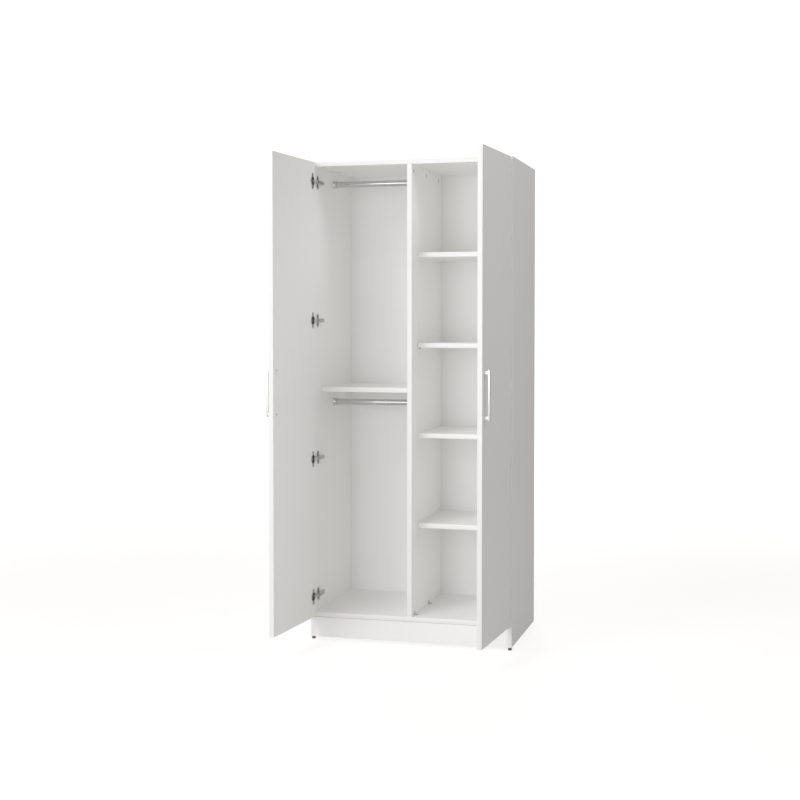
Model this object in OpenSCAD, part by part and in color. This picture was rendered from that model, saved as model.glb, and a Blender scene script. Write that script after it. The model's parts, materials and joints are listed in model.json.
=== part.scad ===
// Two-door wardrobe in 18 mm white melamine board, on a kick board and low glides.
// The left side has two hanging rods around a fixed shelf, the right side has four shelves.
// The origin is on the floor, at the centre of the carcass footprint. +X is right, +Y is back.
// Most shapes are drawn with y measured back from the carcass front edge, and for the right-hand
// side; the left-hand ones are mirrored. The doors are drawn shut and then swung open.

/* [Carcass] */
// Outside width over the side panels
body_w = 800; // [700:10:1000]
// Depth of the side panels, front edge to rear edge
body_d = 500; // [450:10:600]
// Height from the floor to the top
body_h = 1865; // [1800:5:2100]
// Board thickness
board = 18; // [16:0.5:19]
// Height of the glides that lift the carcass off the floor
glide_h = 12; // [8:1:16]
// Height of the kick board under the bottom panel
plinth_h = 78; // [60:1:80]
// Thickness of the hardboard backs
back_t = 3; // [3:0.5:4]

/* [Doors] */
// Clearance between the top of a door and the top of the carcass
door_top_gap = 2; // [1:0.5:4]
// How far a door covers the edge of the bottom panel
door_bottom_cover = 15; // [10:1:16]
// Clearance between the two shut doors
door_middle_gap = 3; // [2:0.5:4]
// How far a shut door stands in from the outside of the carcass
door_side_inset = 2; // [1:0.5:2]
// Clearance between a shut door and the carcass front
door_front_gap = 3; // [3:0.1:3.5]
// How far the left door stands open, in degrees
left_open = 94.2; // [0:0.1:108]
// How far the right door stands open, in degrees
right_open = 86.3; // [0:0.1:108]

/* [Hinges] */
// Distance of the highest hinge below the top of a door
hinge_top = 75; // [70:1:120]
// Distance of the lowest hinge above the bottom of a door
hinge_bottom = 81; // [70:1:120]
// Diameter of the hinge cup
cup_d = 35; // [35:1:35]
// Distance of the cup's centre from the door's outer edge
cup_edge = 22.5; // [22:0.1:23]

/* [Inside] */
// How far the shelves stand back from the carcass front
shelf_setback = 85; // [60:5:120]
// Diameter of the hanging rods
rod_d = 25; // [22:1:28]
// Distance of a rod's centre below the panel above it
rod_drop = 48; // [40:1:80]
// Diameter of the shelf pins
pin_d = 5; // [5:0.5:6]
// Spacing of the shelf pin holes
hole_pitch = 32; // [32:1:32]

/* [Handles] */
// Length of a handle
handle_l = 180; // [172:1:220]
// Spacing of its two screws
handle_pitch = 160; // [128:1:160]
// How far it stands out from the door
handle_out = 20; // [18:1:35]
// Width of its bar
handle_w = 12; // [10:1:14]
// Height of its middle above the floor
handle_z = 987; // [900:1:1100]
// Distance of its centre line from the door's free edge
handle_edge = 30; // [25:1:50]

/* [Hidden] */
$fn = 48;
eps = 0.05;                                  // clearance of a fitted hole around what it holds

// Boards
half_w = body_w / 2;
in_x = half_w - board;                       // inner face of a side panel
floor_z = glide_h + plinth_h;                // underside of the bottom panel
low_z = floor_z + board;                     // floor of the inside
high_z = body_h - board;                     // underside of the top panel
inner_h = high_z - low_z;
groove_depth = 5;
groove_y = body_d - 14;                      // front of the groove that holds the backs
groove_gap = 0.1;                            // clearance of a back in front of it and behind it
back_gap = 0.5;                              // clearance of a back at the bottom of its grooves
back_seam = 0.3;                             // half the gap between the two backs
half_div = board / 2;                        // half the divider's thickness
mid_shelf_z = low_z + (inner_h - board) / 2;
shelf_count = 4;
shelf_clear = (inner_h - shelf_count * board) / (shelf_count + 1);
function shelf_z(i) = low_z + i * shelf_clear + (i - 1) * board;
loose_shelves = [1, 3];                      // these two rest on pins, the others are fixed
loose_gap = 1;                               // side clearance of a loose shelf

// Cam joints and dowels
cam_r = 7.5;
cam_depth = 12.5;
cam_reach = 24;                              // cam centre to the joint
cam_face = 0.3;                              // how far a cam lies below the board's face
bolt_r = 3;
bolt_thread_r = 3.6;
bolt_in = 11;
bolt_start = 0.3;                            // clearance between a cam and its bolt's tail
cam_slot = [8, 1.6, 3];                      // length, width and depth of a cam's slot
dowel_r = 4;
dowel_half = 15;
dowel_step = 32;                             // a dowel stands this far behind its cam
cam_y = [42, 236, 442];
shelf_cam_y = [shelf_setback + 45, groove_y - 60];
// Each joint: x and z of the joint, its direction into the other board, the side the cams are
// let in from, and the distances back at which it has a cam and a dowel
JOINTS = concat(
    [for (s = [-1, 1]) [s * in_x, high_z + board / 2, [s, 0], [0, -1], cam_y]],
    [for (s = [-1, 1]) [s * in_x, floor_z + board / 2, [s, 0], [0, -1], cam_y]],
    [[0, high_z, [0, 1], [1, 0], [36, 229, 436]]],
    [for (s = [-1, 1]) [s < 0 ? -in_x : -half_div, mid_shelf_z + board / 2, [s, 0], [0, -1],
        shelf_cam_y]],
    [for (i = [2, 4]) for (s = [-1, 1]) [s < 0 ? half_div : in_x, shelf_z(i) + board / 2,
        [s, 0], [0, -1], shelf_cam_y]]
);
plinth_dowel_z = [glide_h + 20, glide_h + 58];
rear_plinth_y = body_d - 60;
// Each fastener's head is given by its radius and its height
nail_r = 0.8;
nail_l = 14;
nail_head = [1.8, 1];
nail_x = 4;                                  // distance of a nail from the backs' seam
nail_end = 90;                               // distance of the last nails from the ends of the backs
nail_steps = 6;
nail_z = [for (i = [0 : nail_steps]) low_z + nail_end + i * (inner_h - 2 * nail_end) / nail_steps];
head_in = 0.5;                               // how far a shank runs up into its head
cross_t = 1;
cross_h = 2;

// Shelf pins
pin_in = 9;
pin_out = 8;
pin_y = [shelf_setback + 25, groove_y - 50];
pin_rows = [-3 : 3];
function pin_z(i) = shelf_z(i) - pin_d / 2;

// Hanging rods
rod_y = body_d / 2;
rod_wall = 1.5;
rod_z = [high_z - rod_drop, mid_shelf_z - rod_drop];
socket_r = rod_d / 2 + 3.5;
socket_l = 15;
socket_base = 3;
socket_screw_r = 1.9;
socket_screw_in = 7.5;
socket_head = [4, 2];
rod_end_gap = 0.2;
rod_x = [-in_x + socket_base + rod_end_gap, -half_div - socket_base - rod_end_gap];

// Doors
door_w = (body_w - 2 * door_side_inset - door_middle_gap) / 2;
door_z = low_z - door_bottom_cover;
door_h = body_h - door_top_gap - door_z;
door_x = half_w - door_side_inset;           // outer edge of the shut right door
door_face = -door_front_gap;                 // inner face of a shut door
door_out = door_face - board;                // outer face of a shut door
hinge_count = 4;
hinge_pitch = (door_h - hinge_top - hinge_bottom) / (hinge_count - 1);
function hinge_z(i) = door_z + hinge_bottom + (i - 1) * hinge_pitch;
swing = [in_x + board / 2, -board];          // swing axis of the right door, x and y
link_ratio = -0.48;                          // turn of the hinge links per turn of the door
link_zero = 90;                              // door angle at which the links are drawn

// Hinge, in the right-hand corner: u in from the side panel's face, v back from the front
cup_wall = 1;
cup_deep = 12;
cup_floor = 0.8;
cup_u = in_x - (door_x - cup_edge);
flange_t = 1.4;
flange_r = 19.5;
flange_w = 20;
flange_l = 64;
cup_screw_pitch = 48;
cup_screw_r = 1.7;
cup_screw_in = 10.5;
cup_head = [3.4, 1.05];
plate_v = 37;                                // middle of the mounting plate's wings
plate_t = 3;
plate_l = 53;
plate_w = 19;
plate_screw_pitch = 32;
plate_screw_r = 3.1;
plate_screw_in = 11.5;
plate_head = [4.8, 1.6];
rail_u = 9;                                  // height of the plate's raised rail
rail_v = [22, 80];
rail_w = 12;
arm_w = 16;
arm_t = 1.4;
arm_u = 16.4;                                // height of the arm's top above the side panel
arm_v = 88;
arm_bend_v = 62;                             // where its top starts to slope down to the tail
arm_tail_u = 12.5;
arm_foot_u = plate_t + 0.5;                  // lower edge of its cheeks, clear of the plate
arm_screw_v = [30, 56];
arm_screw_r = 2.5;
arm_head = [3.8, 1.3];
link_pin = [13, -1];
link_pin_r = 1.5;
link_nose_r = arm_u - link_pin[0];
link_path = [link_pin, [10.8, -17.6], [5.5, -21.6]];
link_t = 1.6;
link_w = 8;
link_curl_r = 1.2;                           // curled tip of a link, inside the cup
link_eye_r = 2.7;
running = 0.05;                              // radial clearance of a running fit

// Handle
handle_t = 6;
post_l = 12;                                 // height of each of its two posts
handle_x = door_x - door_w + handle_edge;
handle_screw_r = 2;
handle_screw_in = 12;                        // how far its screws run into the handle
handle_head = [4, 2.15];
handle_round = 3;

// Small parts
glide_r = 8;
glide_pin_r = 1.5;
glide_in = 12;
glide_foot = [1.5, 2];                       // how far its lower edge is cut back, and how high
// x and y of the front glides, under the side panels, and the rear ones, under the rear board
glide_at = [[in_x + board / 2, 12], [in_x - 20, rear_plinth_y + board / 2]];
bracket_a = 13;
bracket_w = 15;
bracket_t = 2;
bracket_y = [45, 273];
bracket_screw_r = 1.5;
bracket_screw_l = 10;
bracket_head = [2.8, 1.4];

// Colours
white = [0.94, 0.94, 0.92];
backing = [0.90, 0.90, 0.88];
chrome = [0.80, 0.81, 0.83];
nickel = [0.66, 0.66, 0.65];
zinc = [0.62, 0.62, 0.63];
beech = [0.80, 0.66, 0.47];
black = [0.08, 0.08, 0.08];
pull_metal = [0.80, 0.80, 0.79];

// ---- Frames ----

// From the carcass front edge to the origin
module from_front() { translate([0, -body_d / 2, 0]) children(); }

// The right-hand side as drawn, or mirrored to the left
module on_side(s) { mirror([s < 0 ? 1 : 0, 0, 0]) children(); }

// Swings a shut right door open by an angle
module swung(open) {
    translate([swing[0], swing[1], 0]) rotate([0, 0, open])
        translate([-swing[0], -swing[1], 0]) children();
}

// Turns the hinge links to follow a door that stands open by an angle
module followed(open) {
    x = in_x - link_pin[0];
    translate([x, link_pin[1], 0]) rotate([0, 0, link_ratio * (open - link_zero)])
        translate([-x, -link_pin[1], 0]) children();
}

// Extrudes a hinge outline drawn in u and v, evenly about a height
module hinge_slice(width, z) {
    translate([in_x, 0, z]) mirror([1, 0, 0]) linear_extrude(width, center = true) children();
}

module block(x, y, z) {
    translate([x[0], y[0], z[0]]) cube([x[1] - x[0], y[1] - y[0], z[1] - z[0]]);
}

// ---- Holes and the fasteners in them ----

// Turns +Z to a direction given in x and z
module along(d) { rotate([0, atan2(d[0], d[1]), 0]) children(); }

module cams(grow) {
    top = grow > 0 ? 1 : -cam_face;              // a hole runs past the board's face
    for (j = JOINTS) for (y = j[4])
        translate([j[0] - cam_reach * j[2][0], y, j[1] - cam_reach * j[2][1]]) along(j[3])
            translate([0, 0, board / 2 - cam_depth - grow])
                cylinder(r = cam_r + grow, h = cam_depth + grow + top);
}

module cam_bolt_set(grow) {
    start = grow > 0 ? 0 : cam_r + bolt_start;   // a hole starts inside its cam's hole
    for (j = JOINTS) for (y = j[4]) translate([j[0], y, j[1]]) along(j[2]) {
        translate([0, 0, start - cam_reach]) cylinder(r = bolt_r + grow, h = cam_reach - start + 1);
        cylinder(r = bolt_thread_r + grow, h = bolt_in + grow);
    }
}

module dowel_set(grow) {
    for (j = JOINTS) for (y = j[4]) translate([j[0], y + dowel_step, j[1]]) along(j[2])
        translate([0, 0, -dowel_half - grow])
            cylinder(r = dowel_r + grow, h = dowel_half + bolt_in + 2 * grow);
    for (s = [-1, 1]) for (y = [board / 2, rear_plinth_y + board / 2]) for (z = plinth_dowel_z)
        translate([s * in_x, y, z]) along([s, 0]) translate([0, 0, -dowel_half - grow])
            cylinder(r = dowel_r + grow, h = dowel_half + bolt_in + 2 * grow);
}

module joint_holes() {
    cams(eps);
    cam_bolt_set(eps);
    dowel_set(eps);
}

module back_groove() {
    block([-in_x - groove_depth, in_x + groove_depth], [groove_y, groove_y + back_t + 2 * groove_gap],
        [low_z - groove_depth, high_z + groove_depth]);
}

// The columns of shelf pin holes, seven around each pin, from both faces of the right side
module pin_holes() {
    for (i = loose_shelves) for (y = pin_y) for (n = pin_rows) {
        z = pin_z(i) + n * hole_pitch;
        for (x = [half_div - pin_in, in_x])
            translate([x - 1, y, z]) rotate([0, 90, 0]) cylinder(d = pin_d + 2 * eps, h = pin_in + 2);
    }
}

module socket_screw_holes() {
    for (z = rod_z) for (e = [[-in_x - 11, 1], [-half_div - 1, 1]])
        translate([e[0], rod_y, z]) rotate([0, 90, 0]) cylinder(r = socket_screw_r + eps, h = 12);
}

module plate_screw_holes() {
    for (i = [1 : hinge_count]) for (k = [-1, 1])
        translate([in_x - 1, plate_v, hinge_z(i) + k * plate_screw_pitch / 2])
            rotate([0, 90, 0]) cylinder(r = plate_screw_r + eps, h = plate_screw_in + 1.5);
}

module glide_holes() {
    for (s = [-1, 1]) for (at = glide_at)
        translate([s * at[0], at[1], 0]) cylinder(r = glide_pin_r + eps, h = glide_h + glide_in + 1);
}

// ---- Boards ----

module side_panel(s) {
    color(white) from_front() difference() {
        on_side(s) difference() {
            block([in_x, half_w], [0, body_d], [glide_h, body_h]);
            plate_screw_holes();
            glide_holes();
        }
        back_groove();
        joint_holes();
        if (s > 0) pin_holes(); else socket_screw_holes();
    }
}

module top_panel() {
    color(white) from_front() difference() {
        block([-in_x, in_x], [0, body_d], [high_z, body_h]);
        back_groove();
        joint_holes();
    }
}

module bottom_panel() {
    color(white) from_front() difference() {
        block([-in_x, in_x], [0, body_d], [floor_z, low_z]);
        back_groove();
        joint_holes();
        bracket_screw_set(eps);
    }
}

module centre_divider() {
    color(white) from_front() difference() {
        block([-half_div, half_div], [0, groove_y], [low_z, high_z]);
        joint_holes();
        pin_holes();
        socket_screw_holes();
        bracket_screw_set(eps);
        back_nail_set(eps);
    }
}

module back_panel(s) {
    color(backing) from_front() difference() {
        on_side(s) block([back_seam, in_x + groove_depth - back_gap],
            [groove_y + groove_gap, groove_y + groove_gap + back_t],
            [low_z - groove_depth + back_gap, high_z + groove_depth - back_gap]);
        back_nail_set(eps);
    }
}

module plinth(y) {
    color(white) from_front() difference() {
        block([-in_x, in_x], [y, y + board], [glide_h, floor_z]);
        dowel_set(eps);
        glide_holes();
    }
}

module mid_shelf() {
    color(white) from_front() difference() {
        block([-in_x, -half_div], [shelf_setback, groove_y], [mid_shelf_z, mid_shelf_z + board]);
        joint_holes();
    }
}

module right_shelf(i) {
    loose = len(search(i, loose_shelves)) > 0;
    gap = loose ? loose_gap : 0;
    color(white) from_front() difference() {
        block([half_div + gap, in_x - gap], [shelf_setback, groove_y - gap],
            [shelf_z(i), shelf_z(i) + board]);
        if (!loose) joint_holes();
    }
}

// ---- Fittings of the carcass ----

module rod(n) {
    color(chrome) from_front() translate([rod_x[0], rod_y, rod_z[n]]) rotate([0, 90, 0]) difference() {
        cylinder(d = rod_d, h = rod_x[1] - rod_x[0]);
        translate([0, 0, -1]) cylinder(r = rod_d / 2 - rod_wall, h = rod_x[1] - rod_x[0] + 2);
    }
}

// A plain round socket, closed at the panel and bored for the rod's end
module rod_socket() {
    difference() {
        cylinder(r = socket_r, h = socket_l);
        translate([0, 0, socket_base]) cylinder(r = rod_d / 2 + 2 * eps, h = socket_l);
        translate([0, 0, -1]) cylinder(r = socket_screw_r + eps, h = socket_base + 2);
    }
}

module rod_sockets(n) {
    color(chrome) from_front() for (e = [[-in_x, 90], [-half_div, -90]])
        translate([e[0], rod_y, rod_z[n]]) rotate([0, e[1], 0]) rod_socket();
}

module rod_socket_screws() {
    color(zinc) from_front() for (z = rod_z) for (e = [[-in_x, 90], [-half_div, -90]])
        translate([e[0], rod_y, z]) rotate([0, e[1], 0]) {
            translate([0, 0, -socket_screw_in])
                cylinder(r = socket_screw_r, h = socket_screw_in + socket_base + head_in);
            translate([0, 0, socket_base + eps]) cylinder(r = socket_head[0], h = socket_head[1]);
        }
}

// Round plastic glides, each with a pin driven into the lower edge of the board above it
module glides(at) {
    color(black) from_front() for (s = [-1, 1]) translate([s * at[0], at[1], 0]) {
        rotate_extrude() polygon([[0, 0], [glide_r - glide_foot[0], 0], [glide_r, glide_foot[1]],
            [glide_r, glide_h], [0, glide_h]]);
        translate([0, 0, glide_h - 1]) cylinder(r = glide_pin_r, h = glide_in + 1);
    }
}

module shelf_pins() {
    color(nickel) from_front() for (i = loose_shelves) for (y = pin_y)
        for (e = [[half_div, 1], [in_x, -1]]) translate([e[0], y, pin_z(i)]) rotate([0, 90 * e[1], 0])
            translate([0, 0, -pin_in]) cylinder(d = pin_d, h = pin_in + pin_out);
}

module cam_locks() { color(zinc) from_front() difference() { cams(0); cam_slots(); } }

// The screwdriver slot across the face of each cam
module cam_slots() {
    for (j = JOINTS) for (y = j[4])
        translate([j[0] - cam_reach * j[2][0], y, j[1] - cam_reach * j[2][1]]) along(j[3])
            translate([-cam_slot[0] / 2, -cam_slot[1] / 2, board / 2 - cam_slot[2]])
                cube([cam_slot[0], cam_slot[1], cam_slot[2] + 1]);
}

module cam_bolts() { color(zinc) from_front() cam_bolt_set(0); }

module dowels() { color(beech) from_front() dowel_set(0); }

module back_nail_set(grow) {
    for (s = [-1, 1]) for (z = nail_z)
        translate([s * nail_x, groove_y + back_t + groove_gap, z]) rotate([90, 0, 0]) {
            translate([0, 0, -0.01]) cylinder(r = nail_r + grow, h = nail_l);
            if (grow == 0) translate([0, 0, -nail_head[1]]) cylinder(r = nail_head[0], h = nail_head[1]);
        }
}

module back_nails() { color(zinc) from_front() back_nail_set(0); }

// Small steel angles at the foot of the divider
module divider_brackets() {
    color(zinc) from_front() difference() {
        for (y = bracket_y) translate([half_div, y - bracket_w / 2, low_z]) {
            cube([bracket_a, bracket_w, bracket_t]);
            cube([bracket_t, bracket_w, bracket_a]);
        }
        bracket_screw_set(eps);
    }
}

module bracket_screw_set(grow) {
    at = bracket_a / 2 + 1;
    for (y = bracket_y) for (e = [[at, 0, 180], [0, at, -90]])
        translate([half_div + e[0], y, low_z + e[1]]) rotate([0, e[2], 0]) {
            translate([0, 0, -bracket_t - head_in])
                cylinder(r = bracket_screw_r + grow, h = bracket_screw_l + grow);
            if (grow == 0) translate([0, 0, -bracket_t - bracket_head[1] - 0.1])
                cylinder(r = bracket_head[0], h = bracket_head[1]);
        }
}

module bracket_screws() { color(zinc) from_front() bracket_screw_set(0); }

// The cross recess of a screw head, drawn from a height upwards
module cross_recess(width, low) {
    for (a = [0, 90]) rotate([0, 0, a]) translate([-width / 2, -cross_t / 2, low])
        cube([width, cross_t, cross_h]);
}

// ---- Doors ----

module door(s, open) {
    color(white) from_front() on_side(s) swung(open) difference() {
        block([door_x - door_w, door_x], [door_out, door_face], [door_z, door_z + door_h]);
        for (i = [1 : hinge_count]) translate([in_x - cup_u, door_face, hinge_z(i)]) rotate([90, 0, 0]) {
            translate([0, 0, -1]) cylinder(d = cup_d + 2 * eps, h = cup_deep + cup_floor + 1.2);
            for (k = [-1, 1]) translate([0, k * cup_screw_pitch / 2, -1])
                cylinder(r = cup_screw_r + eps, h = cup_screw_in + 1.5);
        }
        for (k = [-1, 1]) translate([handle_x, door_out - 1, handle_z + k * handle_pitch / 2])
            rotate([-90, 0, 0]) cylinder(r = handle_screw_r + 0.2, h = board + 2);
    }
}

// A bridge handle: a flat bar with rounded ends on two square posts near its ends
module handle(s, open) {
    color(pull_metal) from_front() on_side(s) swung(open)
        translate([handle_x, door_out, handle_z]) rotate([90, 0, 0]) difference() {
            union() {
                for (k = [-1, 1]) translate([-handle_w / 2, k * handle_pitch / 2 - post_l / 2, 0])
                    cube([handle_w, post_l, handle_out - handle_t / 2]);
                translate([-handle_w / 2, 0, handle_out - handle_t]) rotate([0, 90, 0])
                    linear_extrude(handle_w) translate([-handle_t, -handle_l / 2]) handle_bar();
            }
            for (k = [-1, 1]) translate([0, k * handle_pitch / 2, -1])
                cylinder(r = handle_screw_r + eps, h = handle_screw_in + 4);
        }
}

// Side outline of the handle's bar, rounded at its outer corners
module handle_bar() {
    r = handle_round;
    translate([r, 0]) square([handle_t - r, handle_l]);
    translate([0, r]) square([handle_t, handle_l - 2 * r]);
    for (y = [r, handle_l - r]) translate([r, y]) circle(r);
}

module handle_screws(s, open) {
    color(nickel) from_front() on_side(s) swung(open) for (k = [-1, 1])
        translate([handle_x, door_face, handle_z + k * handle_pitch / 2]) rotate([90, 0, 0]) {
            translate([0, 0, -head_in]) cylinder(r = handle_screw_r, h = board + handle_screw_in);
            difference() {
                translate([0, 0, -handle_head[1] - eps]) cylinder(r = handle_head[0], h = handle_head[1]);
                cross_recess(4.8, -3.1);
            }
        }
}

// ---- Concealed hinges ----

// A pressed cup with a winged flange, seen from the door's inner face
module hinge_cup(s, i, open) {
    end = flange_l / 2 - flange_w / 2;
    color(nickel) from_front() on_side(s) swung(open)
        translate([in_x - cup_u, door_face, hinge_z(i)]) rotate([90, 0, 0]) difference() {
            union() {
                translate([0, 0, -flange_t]) linear_extrude(flange_t) {
                    circle(flange_r);
                    square([flange_w, 2 * end], center = true);
                    for (k = [-1, 1]) translate([0, k * end]) circle(d = flange_w);
                }
                cylinder(d = cup_d, h = cup_deep + cup_floor);
            }
            translate([0, 0, -2]) cylinder(r = cup_d / 2 - cup_wall, h = cup_deep + 2);
            for (k = [-1, 1]) translate([0, k * cup_screw_pitch / 2, -2])
                cylinder(r = cup_screw_r + eps, h = 3);
        }
}

module cup_screws(s, open) {
    color(nickel) from_front() on_side(s) swung(open) for (i = [1 : hinge_count]) for (k = [-1, 1])
        translate([in_x - cup_u, door_face, hinge_z(i) + k * cup_screw_pitch / 2]) rotate([90, 0, 0]) {
            translate([0, 0, -flange_t - head_in])
                cylinder(r = cup_screw_r, h = flange_t + head_in + cup_screw_in);
            translate([0, 0, -flange_t - eps - cup_head[1]]) cylinder(r = cup_head[0], h = cup_head[1]);
        }
}

// The mounting plate: two wings screwed to the side panel and a raised rail for the arm
module hinge_plates(s) {
    end = plate_l / 2 - plate_w / 2;
    color(nickel) from_front() on_side(s) for (i = [1 : hinge_count]) difference() {
        translate([in_x, plate_v, hinge_z(i)]) rotate([0, -90, 0]) linear_extrude(plate_t) {
            square([2 * end, plate_w], center = true);
            for (k = [-1, 1]) translate([k * end, 0]) circle(d = plate_w);
            translate([-rail_w / 2, rail_v[0] - plate_v]) square([rail_w, rail_v[1] - rail_v[0]]);
        }
        for (k = [-1, 1]) translate([in_x + 1, plate_v, hinge_z(i) + k * plate_screw_pitch / 2])
            rotate([0, -90, 0]) cylinder(r = plate_screw_r + eps, h = plate_t + 2);
    }
    color(nickel) from_front() on_side(s) for (i = [1 : hinge_count])
        block([in_x - rail_u, in_x - plate_t + 0.2], rail_v,
            [hinge_z(i) - rail_w / 2, hinge_z(i) + rail_w / 2]);
}

module hinge_plate_screws() {
    color(nickel) from_front() for (s = [-1, 1]) on_side(s) for (i = [1 : hinge_count])
        for (k = [-1, 1]) translate([in_x, plate_v, hinge_z(i) + k * plate_screw_pitch / 2])
            rotate([0, -90, 0]) {
                translate([0, 0, -plate_screw_in])
                    cylinder(r = plate_screw_r, h = plate_screw_in + plate_t + head_in);
                difference() {
                    translate([0, 0, plate_t + eps]) cylinder(r = plate_head[0], h = plate_head[1]);
                    cross_recess(5.2, plate_t + 0.75);
                }
            }
}

// Side outline of an arm, from its rounded nose at the links to its sloping tail
module arm_outline() {
    translate(link_pin) circle(link_nose_r);
    polygon([[link_pin[0] - link_nose_r, link_pin[1]], [arm_u, link_pin[1]], [arm_u, arm_bend_v],
        [arm_tail_u, arm_v], [arm_foot_u, arm_v], [arm_foot_u, 14], [link_pin[0] - link_nose_r, 8]]);
}

// A folded arm: two cheeks and a top, hollow towards the side panel
module hinge_arm(s, i) {
    color(nickel) from_front() on_side(s) difference() {
        hinge_slice(arm_w, hinge_z(i)) arm_outline();
        hinge_slice(arm_w - 2 * arm_t, hinge_z(i)) polygon([[0, -9], [arm_u - arm_t, -9],
            [arm_u - arm_t, arm_bend_v], [arm_tail_u - 1.5, arm_v + 1], [0, arm_v + 1]]);
        hinge_slice(arm_w + 2, hinge_z(i)) translate(link_pin) circle(link_pin_r + eps);
        // the arm's nose is open, so that the links can turn in it
        hinge_slice(arm_w - 2 * arm_t, hinge_z(i)) translate([0, -9]) square([arm_u + 2, 14]);
        for (v = arm_screw_v) translate([in_x - arm_u - 1, v, hinge_z(i)]) rotate([0, 90, 0])
            cylinder(r = arm_screw_r + 0.1, h = arm_t + 2);
    }
}

// The fixing screw and the side adjusting screw of each arm
module hinge_arm_screws() {
    up = arm_u - rail_u;
    color(zinc) from_front() for (s = [-1, 1]) on_side(s) for (i = [1 : hinge_count])
        for (v = arm_screw_v) translate([in_x - rail_u - eps, v, hinge_z(i)]) rotate([0, -90, 0])
            difference() {
                union() {
                    cylinder(r = arm_screw_r, h = up + head_in);
                    translate([0, 0, up + 2 * eps]) cylinder(r = arm_head[0], h = arm_head[1]);
                }
                cross_recess(4.4, up + 0.5);
            }
}

module hinge_pins() {
    color(zinc) from_front() for (s = [-1, 1]) on_side(s) for (i = [1 : hinge_count])
        hinge_slice(arm_w + 0.6, hinge_z(i)) translate(link_pin) circle(link_pin_r);
}

// A straight strip from one point to another, with round ends
module strip(a, b) {
    d = b - a;
    translate(a) rotate([0, 0, atan2(d[1], d[0])]) translate([0, -link_t / 2]) square([norm(d), link_t]);
    translate(a) circle(d = link_t);
    translate(b) circle(d = link_t);
}

// The bent links of a door's hinges: an eye on the arm's pin, and a free curled tip in the cup
module hinge_links(s, open) {
    color(zinc) from_front() on_side(s) followed(open) for (i = [1 : hinge_count]) difference() {
        union() {
            hinge_slice(link_w, hinge_z(i)) for (n = [0, 1]) strip(link_path[n], link_path[n + 1]);
            hinge_slice(link_w + 2, hinge_z(i)) translate(link_pin) circle(link_eye_r);
            hinge_slice(link_w, hinge_z(i)) translate(link_path[2]) circle(link_curl_r);
        }
        hinge_slice(link_w + 4, hinge_z(i)) translate(link_pin) circle(link_pin_r + running);
    }
}

// ---- The assembly ----

side_panel(-1);  // left_side_panel
side_panel(1);  // right_side_panel
top_panel();
bottom_panel();
centre_divider();
back_panel(-1);  // left_back_panel
back_panel(1);  // right_back_panel
plinth(0);  // front_plinth
plinth(rear_plinth_y);  // rear_plinth
mid_shelf();
for (i = [1 : shelf_count])
    right_shelf(i);
rod(0);  // upper_rod
rod(1);  // lower_rod
rod_sockets(0);  // upper_rod_sockets
rod_sockets(1);  // lower_rod_sockets
rod_socket_screws();
glides(glide_at[0]);  // front_glides
glides(glide_at[1]);  // rear_glides
shelf_pins();
cam_locks();
cam_bolts();
dowels();
back_nails();
divider_brackets();
bracket_screws();
door(-1, left_open);  // left_door
door(1, right_open);  // right_door
handle(-1, left_open);  // left_handle
handle(1, right_open);  // right_handle
handle_screws(-1, left_open);  // left_handle_screws
handle_screws(1, right_open);  // right_handle_screws
hinge_plates(-1);  // left_hinge_plates
hinge_plates(1);  // right_hinge_plates
hinge_plate_screws();
hinge_arm_screws();
hinge_pins();
hinge_links(-1, left_open);  // left_hinge_links
hinge_links(1, right_open);  // right_hinge_links
cup_screws(-1, left_open);  // left_cup_screws
cup_screws(1, right_open);  // right_cup_screws
for (i = [1 : hinge_count]) {
    hinge_arm(-1, i);
    hinge_arm(1, i);
    hinge_cup(-1, i, left_open);
    hinge_cup(1, i, right_open);
}
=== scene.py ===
"""Looks of a two-door wardrobe: banded boards, chromed rods, pressed hinges and metal pulls.

Metres, in the frame's axes: the floor is z = 0, +X is right, +Y is back. Pieces of a door are built
in the place of the shut right-hand door, then swung, and mirrored for the left.
"""

import json
import math

import bmesh
import bpy
from mathutils import Matrix, Vector


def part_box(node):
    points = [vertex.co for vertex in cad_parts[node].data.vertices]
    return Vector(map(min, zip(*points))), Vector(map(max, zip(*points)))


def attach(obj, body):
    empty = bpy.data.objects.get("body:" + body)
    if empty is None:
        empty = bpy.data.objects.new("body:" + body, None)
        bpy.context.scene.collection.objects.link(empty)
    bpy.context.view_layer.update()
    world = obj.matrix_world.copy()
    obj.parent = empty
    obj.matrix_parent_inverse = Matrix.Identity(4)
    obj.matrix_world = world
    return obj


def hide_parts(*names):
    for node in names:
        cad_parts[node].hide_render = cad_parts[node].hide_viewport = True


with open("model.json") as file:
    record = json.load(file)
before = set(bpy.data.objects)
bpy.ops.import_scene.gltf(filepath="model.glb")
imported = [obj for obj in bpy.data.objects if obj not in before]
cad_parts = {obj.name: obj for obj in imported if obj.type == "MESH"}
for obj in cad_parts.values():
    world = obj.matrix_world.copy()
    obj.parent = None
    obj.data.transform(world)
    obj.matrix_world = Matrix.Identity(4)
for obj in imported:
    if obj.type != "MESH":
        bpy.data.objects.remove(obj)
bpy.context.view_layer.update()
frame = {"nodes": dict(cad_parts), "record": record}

MM = 0.001
SIDES = ("left", "right")
HINGES = (1, 2, 3, 4)
joints = {joint["name"]: joint for joint in frame["record"]["behaviour"]["joints"]}

# Boards
BAND = 0.8 * MM          # thickness of the edge banding
BAND_ROUND = 0.5 * MM
ARRIS = 0.1 * MM         # the tiny chamfer on a sawn board
FACE_DEPTH = 0.25 * MM   # how far in from a board's plane still counts as its face
FRONT, TOP = (1, -1), (2, 1)     # edges that are banded, as an axis and a sign
ALL_ROUND = [(0, -1), (0, 1), (2, -1), (2, 1)]
HOLE_PITCH = 32 * MM
HOLES_EACH_WAY = 3       # shelf pin holes above and below each pin
HOLE_DEPTH = 9.5 * MM

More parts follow.
